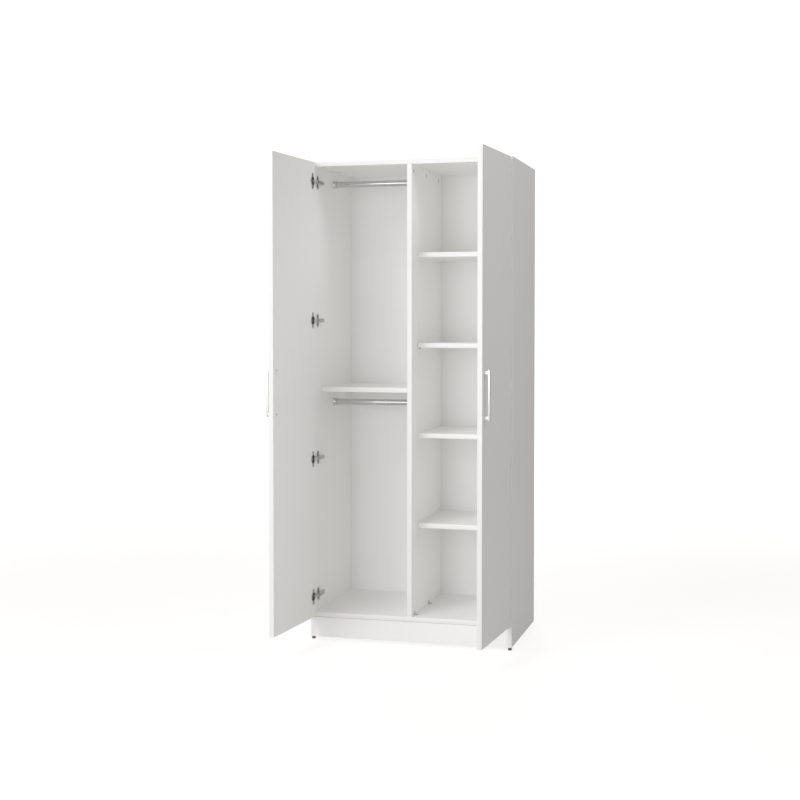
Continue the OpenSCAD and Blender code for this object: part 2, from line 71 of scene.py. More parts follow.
# Pulls
PULL_BAR = 6 * MM        # thickness of the bar
PULL_FOOT = 12 * MM      # height of each foot

# Light
SKY_LIGHT = 0.115        # even light from all round
BACKDROP = 1.35          # the plain white that the camera sees behind the object
SOFT_CURVE = 1.75        # display gamma: lifts the middle tones, so that white fronts don't clip
FLOOR_SOLID = 0.42       # the floor is partly clear, so that it throws less light back up
FLOOR_FADE = (1.5, 7)    # where the floor starts to clear further, and where it is gone
FLOOR_REACH = 8

# Hinges, in their own frame: u in from the side panel, v back from the carcass front, w up
PIN_UV = (13 * MM, -1 * MM)
LINK_PATH = [PIN_UV, (10.8 * MM, -17.6 * MM), (5.5 * MM, -21.6 * MM)]
LINK_DRAWN_AT = 90       # door angle at which the link path is given
CUP_RADIUS = 17.5 * MM
CUP_BORE = 17.6 * MM     # radius of the bore in the door
CUP_WING = 20 * MM       # width of the flange's wings
CHEEK_STEPS = 8          # steps up each cheek of the arm
TOP_STEPS = 6            # steps across its top


# ---- Places taken from the frame ----

def flipped(side):
    """Mirrors the right-hand side to the left, or leaves it."""
    return Matrix.Scale(-1, 4, (1, 0, 0)) if side == "left" else Matrix.Identity(4)


def axes(x, y, z):
    """Turns +X, +Y and +Z to three directions."""
    return Matrix((x, y, z)).transposed().to_4x4()


def aimed(place, direction):
    """At a place, with +Z turned to a direction."""
    turn = Vector(direction).to_track_quat("Z", "Y").to_matrix().to_4x4()
    return Matrix.Translation(place) @ turn


def turn_about(x, y, degrees):
    pivot = Vector((x, y, 0))
    turn = Matrix.Rotation(math.radians(degrees), 4, "Z")
    return Matrix.Translation(pivot) @ turn @ Matrix.Translation(-pivot)


def rest_angle(side):
    """How far this side's door stands open at rest, in degrees."""
    return -joints[f"{side}_door_swing"]["range_deg"][0]


def leaf_matrix(side):
    """From the shut right-hand door to this side's door at rest."""
    x, y, _ = joints[f"{side}_door_swing"]["pos_m"]
    return flipped(side) @ turn_about(abs(x), y, rest_angle(side))


def link_matrix(side):
    """From links drawn for the right-hand side to this side's links at rest."""
    x, y, _ = joints[f"{side}_links_swing"]["pos_m"]
    couplings = frame["record"]["behaviour"]["couplings"]
    ratio = next(c["ratio"] for c in couplings if c["joint"] == f"{side}_links_swing")
    return flipped(side) @ turn_about(abs(x), y, ratio * (rest_angle(side) - LINK_DRAWN_AT))


def solids(node, matrix=Matrix.Identity(4)):
    """The box, as its lowest and highest corner, of each separate solid of a node."""
    bm = bmesh.new()
    bm.from_mesh(frame["nodes"][node].data)
    bmesh.ops.transform(bm, matrix=matrix, verts=bm.verts)
    bmesh.ops.remove_doubles(bm, verts=bm.verts, dist=1e-6)
    boxes, seen = [], set()
    for start in bm.verts:
        if start in seen:
            continue
        seen.add(start)
        group = [start]
        for vert in group:
            for edge in vert.link_edges:
                other = edge.other_vert(vert)
                if other not in seen:
                    seen.add(other)
                    group.append(other)
        spans = [[vert.co[axis] for vert in group] for axis in range(3)]
        boxes.append((Vector(map(min, spans)), Vector(map(max, spans))))
    bm.free()
    return sorted(boxes, key=lambda box: [round(value, 4) for value in (box[0].z, box[0].y, box[0].x)])


def centred(low, high, **given):
    """The middle of a box, with some of its coordinates given instead."""
    centre = (low + high) / 2
    for axis, value in given.items():
        setattr(centre, axis, value)
    return centre


def node_box(node, matrix):
    """A node's box after a matrix is applied to it."""
    boxes = solids(node, matrix)
    low = [min(box[0][axis] for box in boxes) for axis in range(3)]
    high = [max(box[1][axis] for box in boxes) for axis in range(3)]
    return Vector(low), Vector(high)


def shut_box(node, side):
    """A door node's box when its door is shut and on the right-hand side."""
    return node_box(node, leaf_matrix(side).inverted())


panel_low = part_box("right_side_panel")[0]
INNER_X = panel_low.x
FRONT_Y = panel_low.y


def hinge_frame(height):
    """From a hinge's u, v and w to the right-hand side of the wardrobe."""
    place = Matrix.Translation((INNER_X, FRONT_Y, height))
    return place @ Matrix.Scale(-1, 4, (1, 0, 0))


def hinge_heights(side):
    return [sum(box.z for box in shut_box(f"{side}_hinge_cup_{i}", side)) / 2 for i in HINGES]


# ---- Building meshes ----

def turned(rings, steps=48, closed=False):
    """A turned form: each ring has a radius, or a function of the angle, and a height."""
    bm = bmesh.new()
    angles = [2 * math.pi * k / steps for k in range(steps)]
    loops = []
    for radius, height in rings:
        if radius == 0:
            loops.append([bm.verts.new((0, 0, height))])
            continue
        reaches = [radius(a) if callable(radius) else radius for a in angles]
        around = [(r * math.cos(a), r * math.sin(a), height) for r, a in zip(reaches, angles)]
        loops.append([bm.verts.new(point) for point in around])
    pairs = list(zip(loops, loops[1:])) + ([(loops[-1], loops[0])] if closed else [])
    for lower, upper in pairs:
        for k in range(steps):
            corners = [lower[k % len(lower)], lower[(k + 1) % len(lower)]]
            corners += [upper[(k + 1) % len(upper)], upper[k % len(upper)]]
            bm.faces.new(list(dict.fromkeys(corners)))
    bmesh.ops.recalc_face_normals(bm, faces=bm.faces)
    return bm


def bevelled(bm, edges, offset, segments):
    bmesh.ops.bevel(bm, geom=edges, offset=offset, segments=segments, profile=0.5, affect="EDGES")


def prism(outline, low, high, bevel=0.0, segments=2):
    """An outline in x and y, raised from one height to another, with its rims bevelled."""
    bm = bmesh.new()
    rings = [[bm.verts.new((x, y, z)) for x, y in outline] for z in (low, high)]
    bm.faces.new(rings[0])
    bm.faces.new(rings[1])
    count = len(outline)
    for k in range(count):
        bm.faces.new([rings[0][k], rings[0][(k + 1) % count], rings[1][(k + 1) % count], rings[1][k]])
    bmesh.ops.recalc_face_normals(bm, faces=bm.faces)
    if bevel:
        rims = [edge for edge in bm.edges if edge.verts[0].co.z == edge.verts[1].co.z]
        bevelled(bm, rims, bevel, segments)
    return bm


def box_form(low, high, bevel=0.0, segments=2, round_side=None, round_by=0.0):
    """A box with all its edges bevelled, or with the edges of one side rounded instead."""
    bm = bmesh.new()
    size = Vector(high) - Vector(low)
    middle = (Vector(high) + Vector(low)) / 2
    bmesh.ops.create_cube(bm, size=1, matrix=Matrix.Translation(middle) @ Matrix.Diagonal((*size, 1)))
    if round_side:
        axis, sign = round_side
        level = middle[axis] + sign * size[axis] / 2
        edges = [e for e in bm.edges if all(abs(v.co[axis] - level) < 1e-7 for v in e.verts)]
        bevelled(bm, edges, round_by, 3)
    elif bevel:
        bevelled(bm, bm.edges[:], bevel, segments)
    return bm


def rounded(points, radius, steps=6, ends=False):
    """A path or outline with its corners rounded; with ends, the two end points stay as they are."""
    path = []
    count = len(points)
    for k, point in enumerate(points):
        here = Vector(point)
        if ends and k in (0, count - 1):
            path.append(tuple(here))
            continue
        back = Vector(points[k - 1]) - here
        ahead = Vector(points[(k + 1) % count]) - here
        half = back.angle(ahead) / 2
        size = min(radius, 0.49 * min(back.length, ahead.length) * math.tan(half))
        reach = size / math.tan(half)
        start, end = here + back.normalized() * reach, here + ahead.normalized() * reach
        centre = here + (back.normalized() + ahead.normalized()).normalized() * size / math.sin(half)
        first, last = start - centre, end - centre
        sweep = first.angle_signed(last)
        for n in range(steps + 1):
            a = -sweep * n / steps
            x = first.x * math.cos(a) - first.y * math.sin(a)
            y = first.x * math.sin(a) + first.y * math.cos(a)
            path.append((centre.x + x, centre.y + y))
    return path


def ribbon(path, thickness):
    """The outline of a strip that follows a path."""
    left, right = [], []
    points = [Vector(p) for p in path]
    for k, point in enumerate(points):
        ahead = (points[min(k + 1, len(points) - 1)] - points[max(k - 1, 0)]).normalized()
        normal = Vector((-ahead.y, ahead.x)) * thickness / 2
        left.append(tuple(point + normal))
        right.append(tuple(point - normal))
    return left + right[::-1]


def placed(bm, matrix):
    """Moves a form. A mirrored one gets its faces turned back outwards."""
    bmesh.ops.transform(bm, matrix=matrix, verts=bm.verts)
    if matrix.determinant() < 0:
        bmesh.ops.reverse_faces(bm, faces=bm.faces)
    return bm


def painted(bm, index):
    for face in bm.faces:
        face.material_index = index
    return bm


def gathered(forms):
    """One form from several, which are used up."""
    whole = bmesh.new()
    for form in forms:
        loose = bpy.data.meshes.new("loose")
        form.to_mesh(loose)
        form.free()
        whole.from_mesh(loose)
        bpy.data.meshes.remove(loose)
    return whole


def copies(form, matrices):
    """Copies of a form, one at each matrix. The form is used up."""
    made = gathered([placed(form.copy(), matrix) for matrix in matrices])
    form.free()
    return made


def new_object(name, data):
    made = bpy.data.objects.new(name, data)
    bpy.context.scene.collection.objects.link(made)
    return made


def with_modifier(form, kind, **settings):
    """A form after one modifier. The form is used up."""
    mesh = bpy.data.meshes.new("worked")
    form.to_mesh(mesh)
    form.free()
    holder = new_object("worked", mesh)
    modifier = holder.modifiers.new("work", kind)
    for key, value in settings.items():
        setattr(modifier, key, value)
    done = bmesh.new()
    done.from_object(holder, bpy.context.evaluated_depsgraph_get())
    bpy.data.objects.remove(holder)
    bpy.data.meshes.remove(mesh)
    return done


def without(form, cutter):
    """A form with another cut out of it. Both are used up."""
    mesh = bpy.data.meshes.new("cutter")
    cutter.to_mesh(mesh)
    cutter.free()
    tool = new_object("cutter", mesh)
    done = with_modifier(form, "BOOLEAN", object=tool, operation="DIFFERENCE", solver="EXACT")
    bpy.data.objects.remove(tool)
    bpy.data.meshes.remove(mesh)
    bmesh.ops.remove_doubles(done, verts=done.verts, dist=1e-7)
    return done


def piece(name, form, materials, body, slot, *stands_for, smooth_below=35):
    """Makes a shown piece of the object from a form, which is used up."""
    mesh = bpy.data.meshes.new(name)
    form.to_mesh(mesh)
    form.free()
    for material in materials:
        mesh.materials.append(material)
    mesh.polygons.foreach_set("use_smooth", [True] * len(mesh.polygons))
    mesh.set_sharp_from_angle(angle=math.radians(smooth_below))
    made = new_object(name, mesh)
    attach(made, body)
    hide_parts(*stands_for)


# ---- Materials ----

def shader_of(material):
    return material.node_tree.nodes["Principled BSDF"]


def add_node(material, kind):
    return material.node_tree.nodes.new(kind)


def link(material, output, socket):
    material.node_tree.links.new(output, socket)


def new_material(name, color, roughness, metallic=0.0):
    material = bpy.data.materials.new(name)
    material.use_nodes = True
    shader = shader_of(material)
    shader.inputs["Base Color"].default_value = (*color, 1)
    shader.inputs["Roughness"].default_value = roughness
    shader.inputs["Metallic"].default_value = metallic
    return material


def pattern(material, kind, scale, stretch, **settings):
    """A procedural texture in the piece's own place, stretched along its axes. Returns its node."""
    place = add_node(material, "ShaderNodeTexCoord")
    mapping = add_node(material, "ShaderNodeMapping")
    mapping.inputs["Scale"].default_value = stretch
    texture = add_node(material, kind)
    texture.inputs["Scale"].default_value = scale
    for key, value in settings.items():
        texture.inputs[key].default_value = value
    link(material, place.outputs["Object"], mapping.inputs["Vector"])
    link(material, mapping.outputs["Vector"], texture.inputs["Vector"])
    return texture


def noise(material, scale, stretch=(1, 1, 1), **settings):
    return pattern(material, "ShaderNodeTexNoise", scale, stretch, **settings).outputs["Fac"]


def cells(material, scale, stretch=(1, 1, 1)):
    return pattern(material, "ShaderNodeTexVoronoi", scale, stretch).outputs["Distance"]


def ramp(material, source, stops):
    """A colour ramp on a texture's output."""
    node = add_node(material, "ShaderNodeValToRGB")
    for element, (place, color) in zip(node.color_ramp.elements, (stops[0], stops[-1])):
        element.position = place
        element.color = (*color, 1)
    for place, color in stops[1:-1]:
        node.color_ramp.elements.new(place).color = (*color, 1)
    link(material, source, node.inputs["Fac"])
    return node.outputs["Color"]


def multiplied(material, first, second):
    """Two colours, one darkened by the other."""
    node = add_node(material, "ShaderNodeMix")
    node.data_type = "RGBA"
    node.blend_type = "MULTIPLY"
    node.inputs["Factor"].default_value = 1
    first_in, second_in = (socket for socket in node.inputs if socket.type == "RGBA")
    link(material, first, first_in)
    link(material, second, second_in)
    return next(socket for socket in node.outputs if socket.type == "RGBA")


def use_color(material, output):
    link(material, output, shader_of(material).inputs["Base Color"])


def use_roughness(material, source, low, high):
    node = add_node(material, "ShaderNodeMapRange")
    node.inputs["To Min"].default_value = low
    node.inputs["To Max"].default_value = high
    link(material, source, node.inputs["Value"])
    link(material, node.outputs["Result"], shader_of(material).inputs["Roughness"])


def use_bump(material, source, depth, strength=1.0):
    node = add_node(material, "ShaderNodeBump")
    node.inputs["Strength"].default_value = strength
    node.inputs["Distance"].default_value = depth
    link(material, source, node.inputs["Height"])
    link(material, node.outputs["Normal"], shader_of(material).inputs["Normal"])


def melamine(name, along):
    """White melamine with a pearl texture and a trace of grain along one axis."""
    material = new_material(name, (0.95, 0.943, 0.93), 0.4)
    stretch = tuple(0.03 if axis == along else 1 for axis in range(3))
    cloud = noise(material, 2.5, Detail=2)
    grain = noise(material, 260, stretch, Detail=5, Roughness=0.6)
    pearl = noise(material, 1500, Detail=2)
    tone = ramp(material, cloud, [(0.3, (0.955, 0.945, 0.927)), (0.7, (0.965, 0.958, 0.944))])
    streak = ramp(material, grain, [(0.35, (0.978, 0.976, 0.972)), (0.65, (1, 1, 1))])
    use_color(material, multiplied(material, tone, streak))
    use_roughness(material, grain, 0.34, 0.47)
    use_bump(material, pearl, 0.03 * MM, 0.6)
    return material


def banding():
    """Plastic edge banding, a little smoother than the board."""
    material = new_material("edge_banding", (0.88, 0.873, 0.858), 0.32)
    fine = noise(material, 700, Detail=3)
    tone = ramp(material, fine, [(0.3, (0.87, 0.862, 0.846)), (0.7, (0.89, 0.883, 0.868))])
    use_color(material, tone)
    use_roughness(material, fine, 0.27, 0.38)
    use_bump(material, fine, 0.02 * MM, 0.4)
    return material


def chipboard():
    """Sawn particle board: pressed flakes of several browns, with pores."""
    material = new_material("raw_chipboard", (0.55, 0.42, 0.28), 0.9)
    flakes = cells(material, 420, (1, 1, 0.45))
    dust = noise(material, 900, Detail=4)
    browns = [(0.0, (0.30, 0.20, 0.12)), (0.4, (0.56, 0.42, 0.27)), (1.0, (0.72, 0.58, 0.41))]
    tone = ramp(material, flakes, browns)
    shade = ramp(material, dust, [(0.3, (0.75, 0.72, 0.68)), (0.7, (1, 1, 1))])
    use_color(material, multiplied(material, tone, shade))
    use_roughness(material, dust, 0.82, 0.96)
    use_bump(material, flakes, 0.25 * MM, 0.8)
    return material


def lacquer():
    """The white lacquer on the inner face of the hardboard backs."""
    material = new_material("back_lacquer", (0.9, 0.892, 0.872), 0.45)
    cloud = noise(material, 4, Detail=3)
    fine = noise(material, 1100, Detail=3)
    tone = ramp(material, cloud, [(0.3, (0.905, 0.897, 0.877)), (0.7, (0.925, 0.918, 0.902))])
    use_color(material, tone)
    use_roughness(material, cloud, 0.4, 0.52)
    use_bump(material, fine, 0.04 * MM, 0.5)
    return material


def hardboard():
    """The bare rear face of the backs: brown pressed fibre with a mesh print."""
    material = new_material("raw_hardboard", (0.36, 0.24, 0.15), 0.8)
    fibre = noise(material, 240, Detail=6, Roughness=0.7)
    cloud = noise(material, 5, Detail=3)
    mesh = cells(material, 520)
    browns = [(0.25, (0.27, 0.175, 0.105)), (0.5, (0.37, 0.25, 0.155)), (0.8, (0.46, 0.32, 0.21))]
    tone = ramp(material, fibre, browns)
    shade = ramp(material, cloud, [(0.3, (0.86, 0.84, 0.82)), (0.7, (1, 1, 1))])
    use_color(material, multiplied(material, tone, shade))
    use_roughness(material, fibre, 0.7, 0.9)
    use_bump(material, mesh, 0.15 * MM, 0.7)
    return material


def bright_chrome():
    material = new_material("bright_chrome", (0.52, 0.52, 0.52), 0.1, metallic=1.0)
    smudge = noise(material, 35, (0.3, 1, 1), Detail=4)
    tone = ramp(material, smudge, [(0.3, (0.46, 0.455, 0.45)), (0.7, (0.54, 0.535, 0.53))])
    use_color(material, tone)
    use_roughness(material, smudge, 0.06, 0.14)
    return material


def nickel():
    """Nickel plate on pressed steel, with a soft grain and duller patches."""
    material = new_material("nickel_plate", (0.25, 0.24, 0.22), 0.22, metallic=1.0)
    patch = noise(material, 160, Detail=3)
    grain = noise(material, 1400, Detail=3)
    tone = ramp(material, patch, [(0.3, (0.13, 0.125, 0.115)), (0.7, (0.34, 0.33, 0.305))])
    use_color(material, tone)
    use_roughness(material, patch, 0.12, 0.28)
    use_bump(material, grain, 0.02 * MM, 0.5)
    return material


def zinc():
    """Dull zinc plate with its spangle."""
    material = new_material("zinc_plate", (0.42, 0.42, 0.43), 0.38, metallic=1.0)
    spangle = cells(material, 500)
    grain = noise(material, 1200, Detail=3)
    tone = ramp(material, spangle, [(0.1, (0.27, 0.273, 0.28)), (0.7, (0.4, 0.403, 0.408))])
    use_color(material, tone)
    use_roughness(material, spangle, 0.34, 0.5)
    use_bump(material, grain, 0.03 * MM, 0.5)
    return material


def satin_metal():
    """Satin plated metal of the pulls, brushed along their length."""
    material = new_material("satin_metal", (0.74, 0.74, 0.735), 0.25, metallic=1.0)
    brush = noise(material, 900, (1, 1, 0.02), Detail=4)
    cloud = noise(material, 40, Detail=2)
    tone = ramp(material, cloud, [(0.3, (0.7, 0.7, 0.695)), (0.7, (0.78, 0.78, 0.775))])
    use_color(material, tone)
    use_roughness(material, brush, 0.26, 0.38)
    use_bump(material, brush, 0.02 * MM, 0.5)
    return material


def beech():
    material = new_material("beech_dowel", (0.62, 0.44, 0.27), 0.7)
    grain = noise(material, 500, (0.1, 1, 1), Detail=5)
    tone = ramp(material, grain, [(0.3, (0.52, 0.35, 0.2)), (0.7, (0.7, 0.52, 0.34))])
    use_color(material, tone)
    use_roughness(material, grain, 0.6, 0.8)
    use_bump(material, grain, 0.1 * MM, 0.6)
    return material


def black_plastic():
    material = new_material("black_plastic", (0.02, 0.02, 0.02), 0.5)
    fine = noise(material, 900, Detail=3)
    tone = ramp(material, fine, [(0.3, (0.014, 0.014, 0.014)), (0.7, (0.03, 0.03, 0.031))])
    use_color(material, tone)
    use_roughness(material, fine, 0.42, 0.62)
    use_bump(material, fine, 0.06 * MM, 0.6)
    return material


UPRIGHT = melamine("melamine_upright", 2)
LEVEL = melamine("melamine_level", 0)
BANDING = banding()
RAW = chipboard()
CHROME = bright_chrome()
NICKEL = nickel()
ZINC = zinc()
PULL = satin_metal()


# ---- Boards ----

def cylinders(bores):
    """Cutters for bores, each given by its mouth, its direction, its radius and its depth."""
    forms = []
    for mouth, direction, radius, depth in bores:
        form = turned([(0, -1 * MM), (radius, -1 * MM), (radius, depth), (0, depth)], steps=32)
        forms.append(placed(form, aimed(mouth, direction)))
    return gathered(forms)


def board_form(low, high, banded, bores=()):
    """A board of melamined chipboard with banded edges. Its materials are face, banding and raw."""
    low, high = Vector(low), Vector(high)
    core_low, core_high = low.copy(), high.copy()
    bands = []
    for axis, sign in banded:
        band_low, band_high = core_low.copy(), core_high.copy()
        if sign > 0:
            core_high[axis] -= BAND
            band_low[axis] = core_high[axis]
        else:
            core_low[axis] += BAND
            band_high[axis] = core_low[axis]
        strip = box_form(band_low, band_high, round_side=(axis, sign), round_by=BAND_ROUND)
        bands.append(painted(strip, 1))
    core = box_form(core_low, core_high, bevel=ARRIS, segments=1)
    if bores:
        core = without(core, cylinders(bores))
    size = high - low
    thin = min(range(3), key=lambda axis: size[axis])
    for face in core.faces:
        middle = face.calc_center_median()[thin]
        on_face = min(middle - low[thin], high[thin] - middle) < FACE_DEPTH
        face.material_index = 0 if on_face and abs(face.normal[thin]) > 0.6 else 2
    return gathered([core, *bands])


def board(node, material, banded, bores=()):
    low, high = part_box(node)
    form = board_form(low, high, banded, bores)
    piece(f"{node}_board", form, [material, BANDING, RAW], "cabinet", "white_board", node)


def cam_boxes():
    """The cams' boxes, each with the axis it was let in along."""
    boxes = []
    for low, high in solids("cam_locks"):
        size = high - low
        boxes.append((low, high, min(range(3), key=lambda axis: size[axis])))
    return boxes


def cam_bores(node):
    """The bores for the cams whose centres lie in a board."""
    board_low, board_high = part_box(node)
    bores = []
    for low, high, axis in cam_boxes():
        centre = (low + high) / 2
        if any(not board_low[k] < centre[k] < board_high[k] for k in range(3)):
            continue
        mouth, direction = centre.copy(), Vector((0, 0, 0))
        open_up = axis == 0
        mouth[axis] = board_high[axis] if open_up else board_low[axis]
        direction[axis] = -1 if open_up else 1
        depth = abs(mouth[axis] - (low if open_up else high)[axis]) + 0.2 * MM
        bores.append((mouth, direction, (high[1] - low[1]) / 2 + 0.15 * MM, depth))
    return bores


def pin_bores(x, direction):
    """The columns of shelf pin holes around each pin, from the face at x."""
    boxes = solids("shelf_pins")
    radius = (boxes[0][1].z - boxes[0][0].z) / 2
    centres = [(low + high) / 2 for low, high in boxes]
    rows = sorted({(round(centre.y, 5), round(centre.z, 5)) for centre in centres})
    bores = []
    for y, z in rows:
        for step in range(-HOLES_EACH_WAY, HOLES_EACH_WAY + 1):
            mouth = Vector((x, y, z + step * HOLE_PITCH))
            bores.append((mouth, Vector((direction, 0, 0)), radius + 0.05 * MM, HOLE_DEPTH))
    return bores


def carcass_boards():
    divider_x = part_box("centre_divider")[1].x
    board("left_side_panel", UPRIGHT, [FRONT, TOP])
    board("right_side_panel", UPRIGHT, [FRONT, TOP], pin_bores(INNER_X, 1))
    board("centre_divider", UPRIGHT, [FRONT], pin_bores(divider_x, -1) + cam_bores("centre_divider"))
    for node in ("top_panel", "bottom_panel", "mid_shelf", *(f"right_shelf_{i}" for i in (1, 2, 3, 4))):
        board(node, LEVEL, [FRONT], cam_bores(node))
    board("rear_plinth", LEVEL, [])


def kick_board():
    """The kick board, rebated along its top for a fine shadow line under the bottom panel."""
    low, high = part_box("front_plinth")
    step = Vector((0, 3 * MM, 1.5 * MM))
    front = board_form(low, high - Vector((0, 0, step.z)), [])
    tongue = painted(box_form(low + Vector((0, step.y, high.z - low.z - 2 * step.z)), high), 2)
    form = gathered([front, tongue])
    piece("kick_board", form, [LEVEL, BANDING, RAW], "cabinet", "white_board", "front_plinth")


def back_panels():
    """Hardboard backs, lacquered on the inner face and bare behind."""
    white, bare = lacquer(), hardboard()
    for side in SIDES:
        low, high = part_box(f"{side}_back_panel")
        form = box_form(low, high, bevel=0.2 * MM, segments=1)
        for face in form.faces:
            face.material_index = 0 if face.normal.y < -0.6 else 1
        piece(f"{side}_back_sheet", form, [white, bare], "cabinet", "back_board", f"{side}_back_panel")


def doors():
    """Door boards banded all round, bored for the hinge cups."""
    for side in SIDES:
        low, high = shut_box(f"{side}_door", side)
        bores = []
        for i in HINGES:
            cup_low, cup_high = shut_box(f"{side}_hinge_cup_{i}", side)
            mouth = centred(cup_low, cup_high, y=high.y)
            bores.append((mouth, Vector((0, -1, 0)), CUP_BORE, high.y - cup_low.y + 0.3 * MM))
        form = placed(board_form(low, high, ALL_ROUND, bores), leaf_matrix(side))
        materials = [UPRIGHT, BANDING, RAW]
        piece(f"{side}_door_board", form, materials, f"{side}_door_leaf", "white_board", f"{side}_door")


# ---- Fasteners and fittings of the carcass ----

def cross_cutter(width, thick, top, depth):
    """The two cutters of a driver's cross, narrower at its foot."""
    forms = []
    for turn in (0, math.pi / 2):
        form = box_form((-width / 2, -thick / 2, top - depth), (width / 2, thick / 2, top + 1 * MM))
        for vert in form.verts:
            if vert.co.z < top:
                vert.co.x *= 0.55
        forms.append(placed(form, Matrix.Rotation(turn, 4, "Z")))
    return forms


def screw_form(radius, height, shank, depth):
    """A pan head with a cross recess, standing on z = 0, on a plain shank."""
    rings = [(0, -depth), (shank * 0.4, -depth), (shank, shank * 0.8 - depth), (shank, 0)]
    rings += [(radius * 0.97, 0), (radius, 0.15 * height)]
    rings += [(radius * 0.96, 0.45 * height), (radius * 0.82, 0.75 * height)]
    rings += [(radius * 0.55, 0.95 * height), (0, height)]
    form = turned(rings, steps=24)
    for cutter in cross_cutter(radius * 1.15, radius * 0.24, height, height * 0.75):
        form = without(form, cutter)
    return form


def rods():
    for level in ("upper", "lower"):
        low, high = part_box(f"{level}_rod")
        radius, length, wall = (high.z - low.z) / 2, high.x - low.x, 1.5 * MM
        rings = [(radius - wall, 0), (radius - 0.3 * MM, 0), (radius, 0.3 * MM)]
        rings += [(radius, length - 0.3 * MM), (radius - 0.3 * MM, length), (radius - wall, length)]
        form = turned(rings, steps=96, closed=True)
        form = placed(form, aimed(centred(low, high, x=low.x), (1, 0, 0)))
        piece(f"{level}_hanging_rod", form, [CHROME], "cabinet", "chromed_steel", f"{level}_rod")


def rod_sockets():
    """Cup-shaped sockets with a foot flange and a rolled lip."""
    for level in ("upper", "lower"):
        forms = []
        rod_low, rod_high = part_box(f"{level}_rod")
        rod_radius = (rod_high.z - rod_low.z) / 2
        for low, high in solids(f"{level}_rod_sockets"):
            outer, length = (high.z - low.z) / 2, high.x - low.x
            bore, neck = rod_radius + 0.15 * MM, outer - 1.3 * MM
            rings = [(0, 0), (outer - 0.3 * MM, 0), (outer, 0.4 * MM), (outer, 1.6 * MM)]
            rings += [(outer - 0.5 * MM, 2.1 * MM), (neck + 0.3 * MM, 2.5 * MM), (neck, 3.2 * MM)]
            rings += [(neck, length - 2.2 * MM), (neck + 0.7 * MM, length - 1.6 * MM)]
            rings += [(neck + 0.9 * MM, length - 0.8 * MM), (neck + 0.4 * MM, length - 0.1 * MM)]
            rings += [(bore + 0.4 * MM, length), (bore, length - 0.5 * MM), (bore, 3 * MM), (0, 3 * MM)]
            at_left = centred(low, high).x < centred(rod_low, rod_high).x
            foot = centred(low, high, x=low.x if at_left else high.x)
            direction = (1 if at_left else -1, 0, 0)
            forms.append(placed(turned(rings, steps=72), aimed(foot, direction)))
        node = f"{level}_rod_sockets"
        piece(f"{level}_socket_pair", gathered(forms), [CHROME], "cabinet", "chromed_steel", node)


def glides():
    """Round glides with a ribbed skirt and a chamfered foot."""
    material = black_plastic()
    for row in ("front", "rear"):
        forms = []
        for low, high in solids(f"{row}_glides"):
            radius = (high.x - low.x) / 2
            top = panel_low.z

            def ribbed(angle, r=radius):
                return r - 0.25 * MM * (1 + math.cos(24 * angle))

            rings = [(0, 0), (radius - 1.8 * MM, 0), (radius - 0.8 * MM, 0.5 * MM), (ribbed, 2 * MM)]
            rings += [(ribbed, top - 2.4 * MM), (radius, top - 2 * MM), (radius, top - 0.3 * MM)]
            rings += [(radius - 0.3 * MM, top), (1.5 * MM, top)]
            rings += [(1.5 * MM, high.z - 1 * MM), (0, high.z)]
            place = Matrix.Translation(centred(low, high, z=0))
            forms.append(placed(turned(rings, steps=96), place))
        form = gathered(forms)
        piece(f"{row}_glide_pair", form, [material], "cabinet", "black_plastic", f"{row}_glides")


def shelf_pins():
    """Plain pins with a domed end and a groove where they enter the board."""
    forms = []
    for low, high in solids("shelf_pins"):
        radius, length = (high.z - low.z) / 2, high.x - low.x
        inward = 1 if centred(low, high).x < INNER_X / 2 else -1
        start = centred(low, high, x=low.x if inward > 0 else high.x)
        rings = [(0, 0), (radius - 0.4 * MM, 0), (radius, 0.5 * MM), (radius, length - 8.6 * MM)]
        rings += [(radius - 0.3 * MM, length - 8.3 * MM), (radius - 0.3 * MM, length - 7.9 * MM)]
        rings += [(radius, length - 7.6 * MM), (radius, length - 0.8 * MM)]
        rings += [(radius * 0.8, length - 0.25 * MM), (radius * 0.45, length), (0, length)]
        form = turned(rings, steps=32)
        forms.append(placed(form, aimed(start, (inward, 0, 0))))
    piece("shelf_pin_set", gathered(forms), [NICKEL], "cabinet", "nickelled_steel", "shelf_pins")


def cam_form(radius, height):
    """A cast cam: a raised rim round a face with a cross recess. The rim's top is at z = 0."""
    face = -0.5 * MM
    rings = [(0, -height), (radius - 0.4 * MM, -height), (radius, 0.4 * MM - height)]
    rings += [(radius, -0.3 * MM), (radius - 0.3 * MM, 0), (radius - 0.9 * MM, 0)]
    rings += [(radius - 1.2 * MM, face), (0, face)]
    form = turned(rings, steps=40)
    for cutter in cross_cutter(width=9 * MM, thick=1.6 * MM, top=face, depth=2.5 * MM):
        form = without(form, cutter)
    notch = box_form((radius - 2.6 * MM, -0.5 * MM, -1.4 * MM), (radius + 1 * MM, 0.5 * MM, 1 * MM))
    return without(form, notch)


def cams():
    places = []
    for low, high, axis in cam_boxes():
        mouth, direction = (low + high) / 2, Vector((0, 0, 0))
        mouth[axis] = high[axis] if axis == 0 else low[axis]
        direction[axis] = 1 if axis == 0 else -1
        places.append(aimed(mouth, direction))
    low, high, axis = cam_boxes()[0]
    form = cam_form((high[1] - low[1]) / 2, high[axis] - low[axis])
    piece("cam_lock_set", copies(form, places), [ZINC], "cabinet", "zinc_plated_steel", "cam_locks")


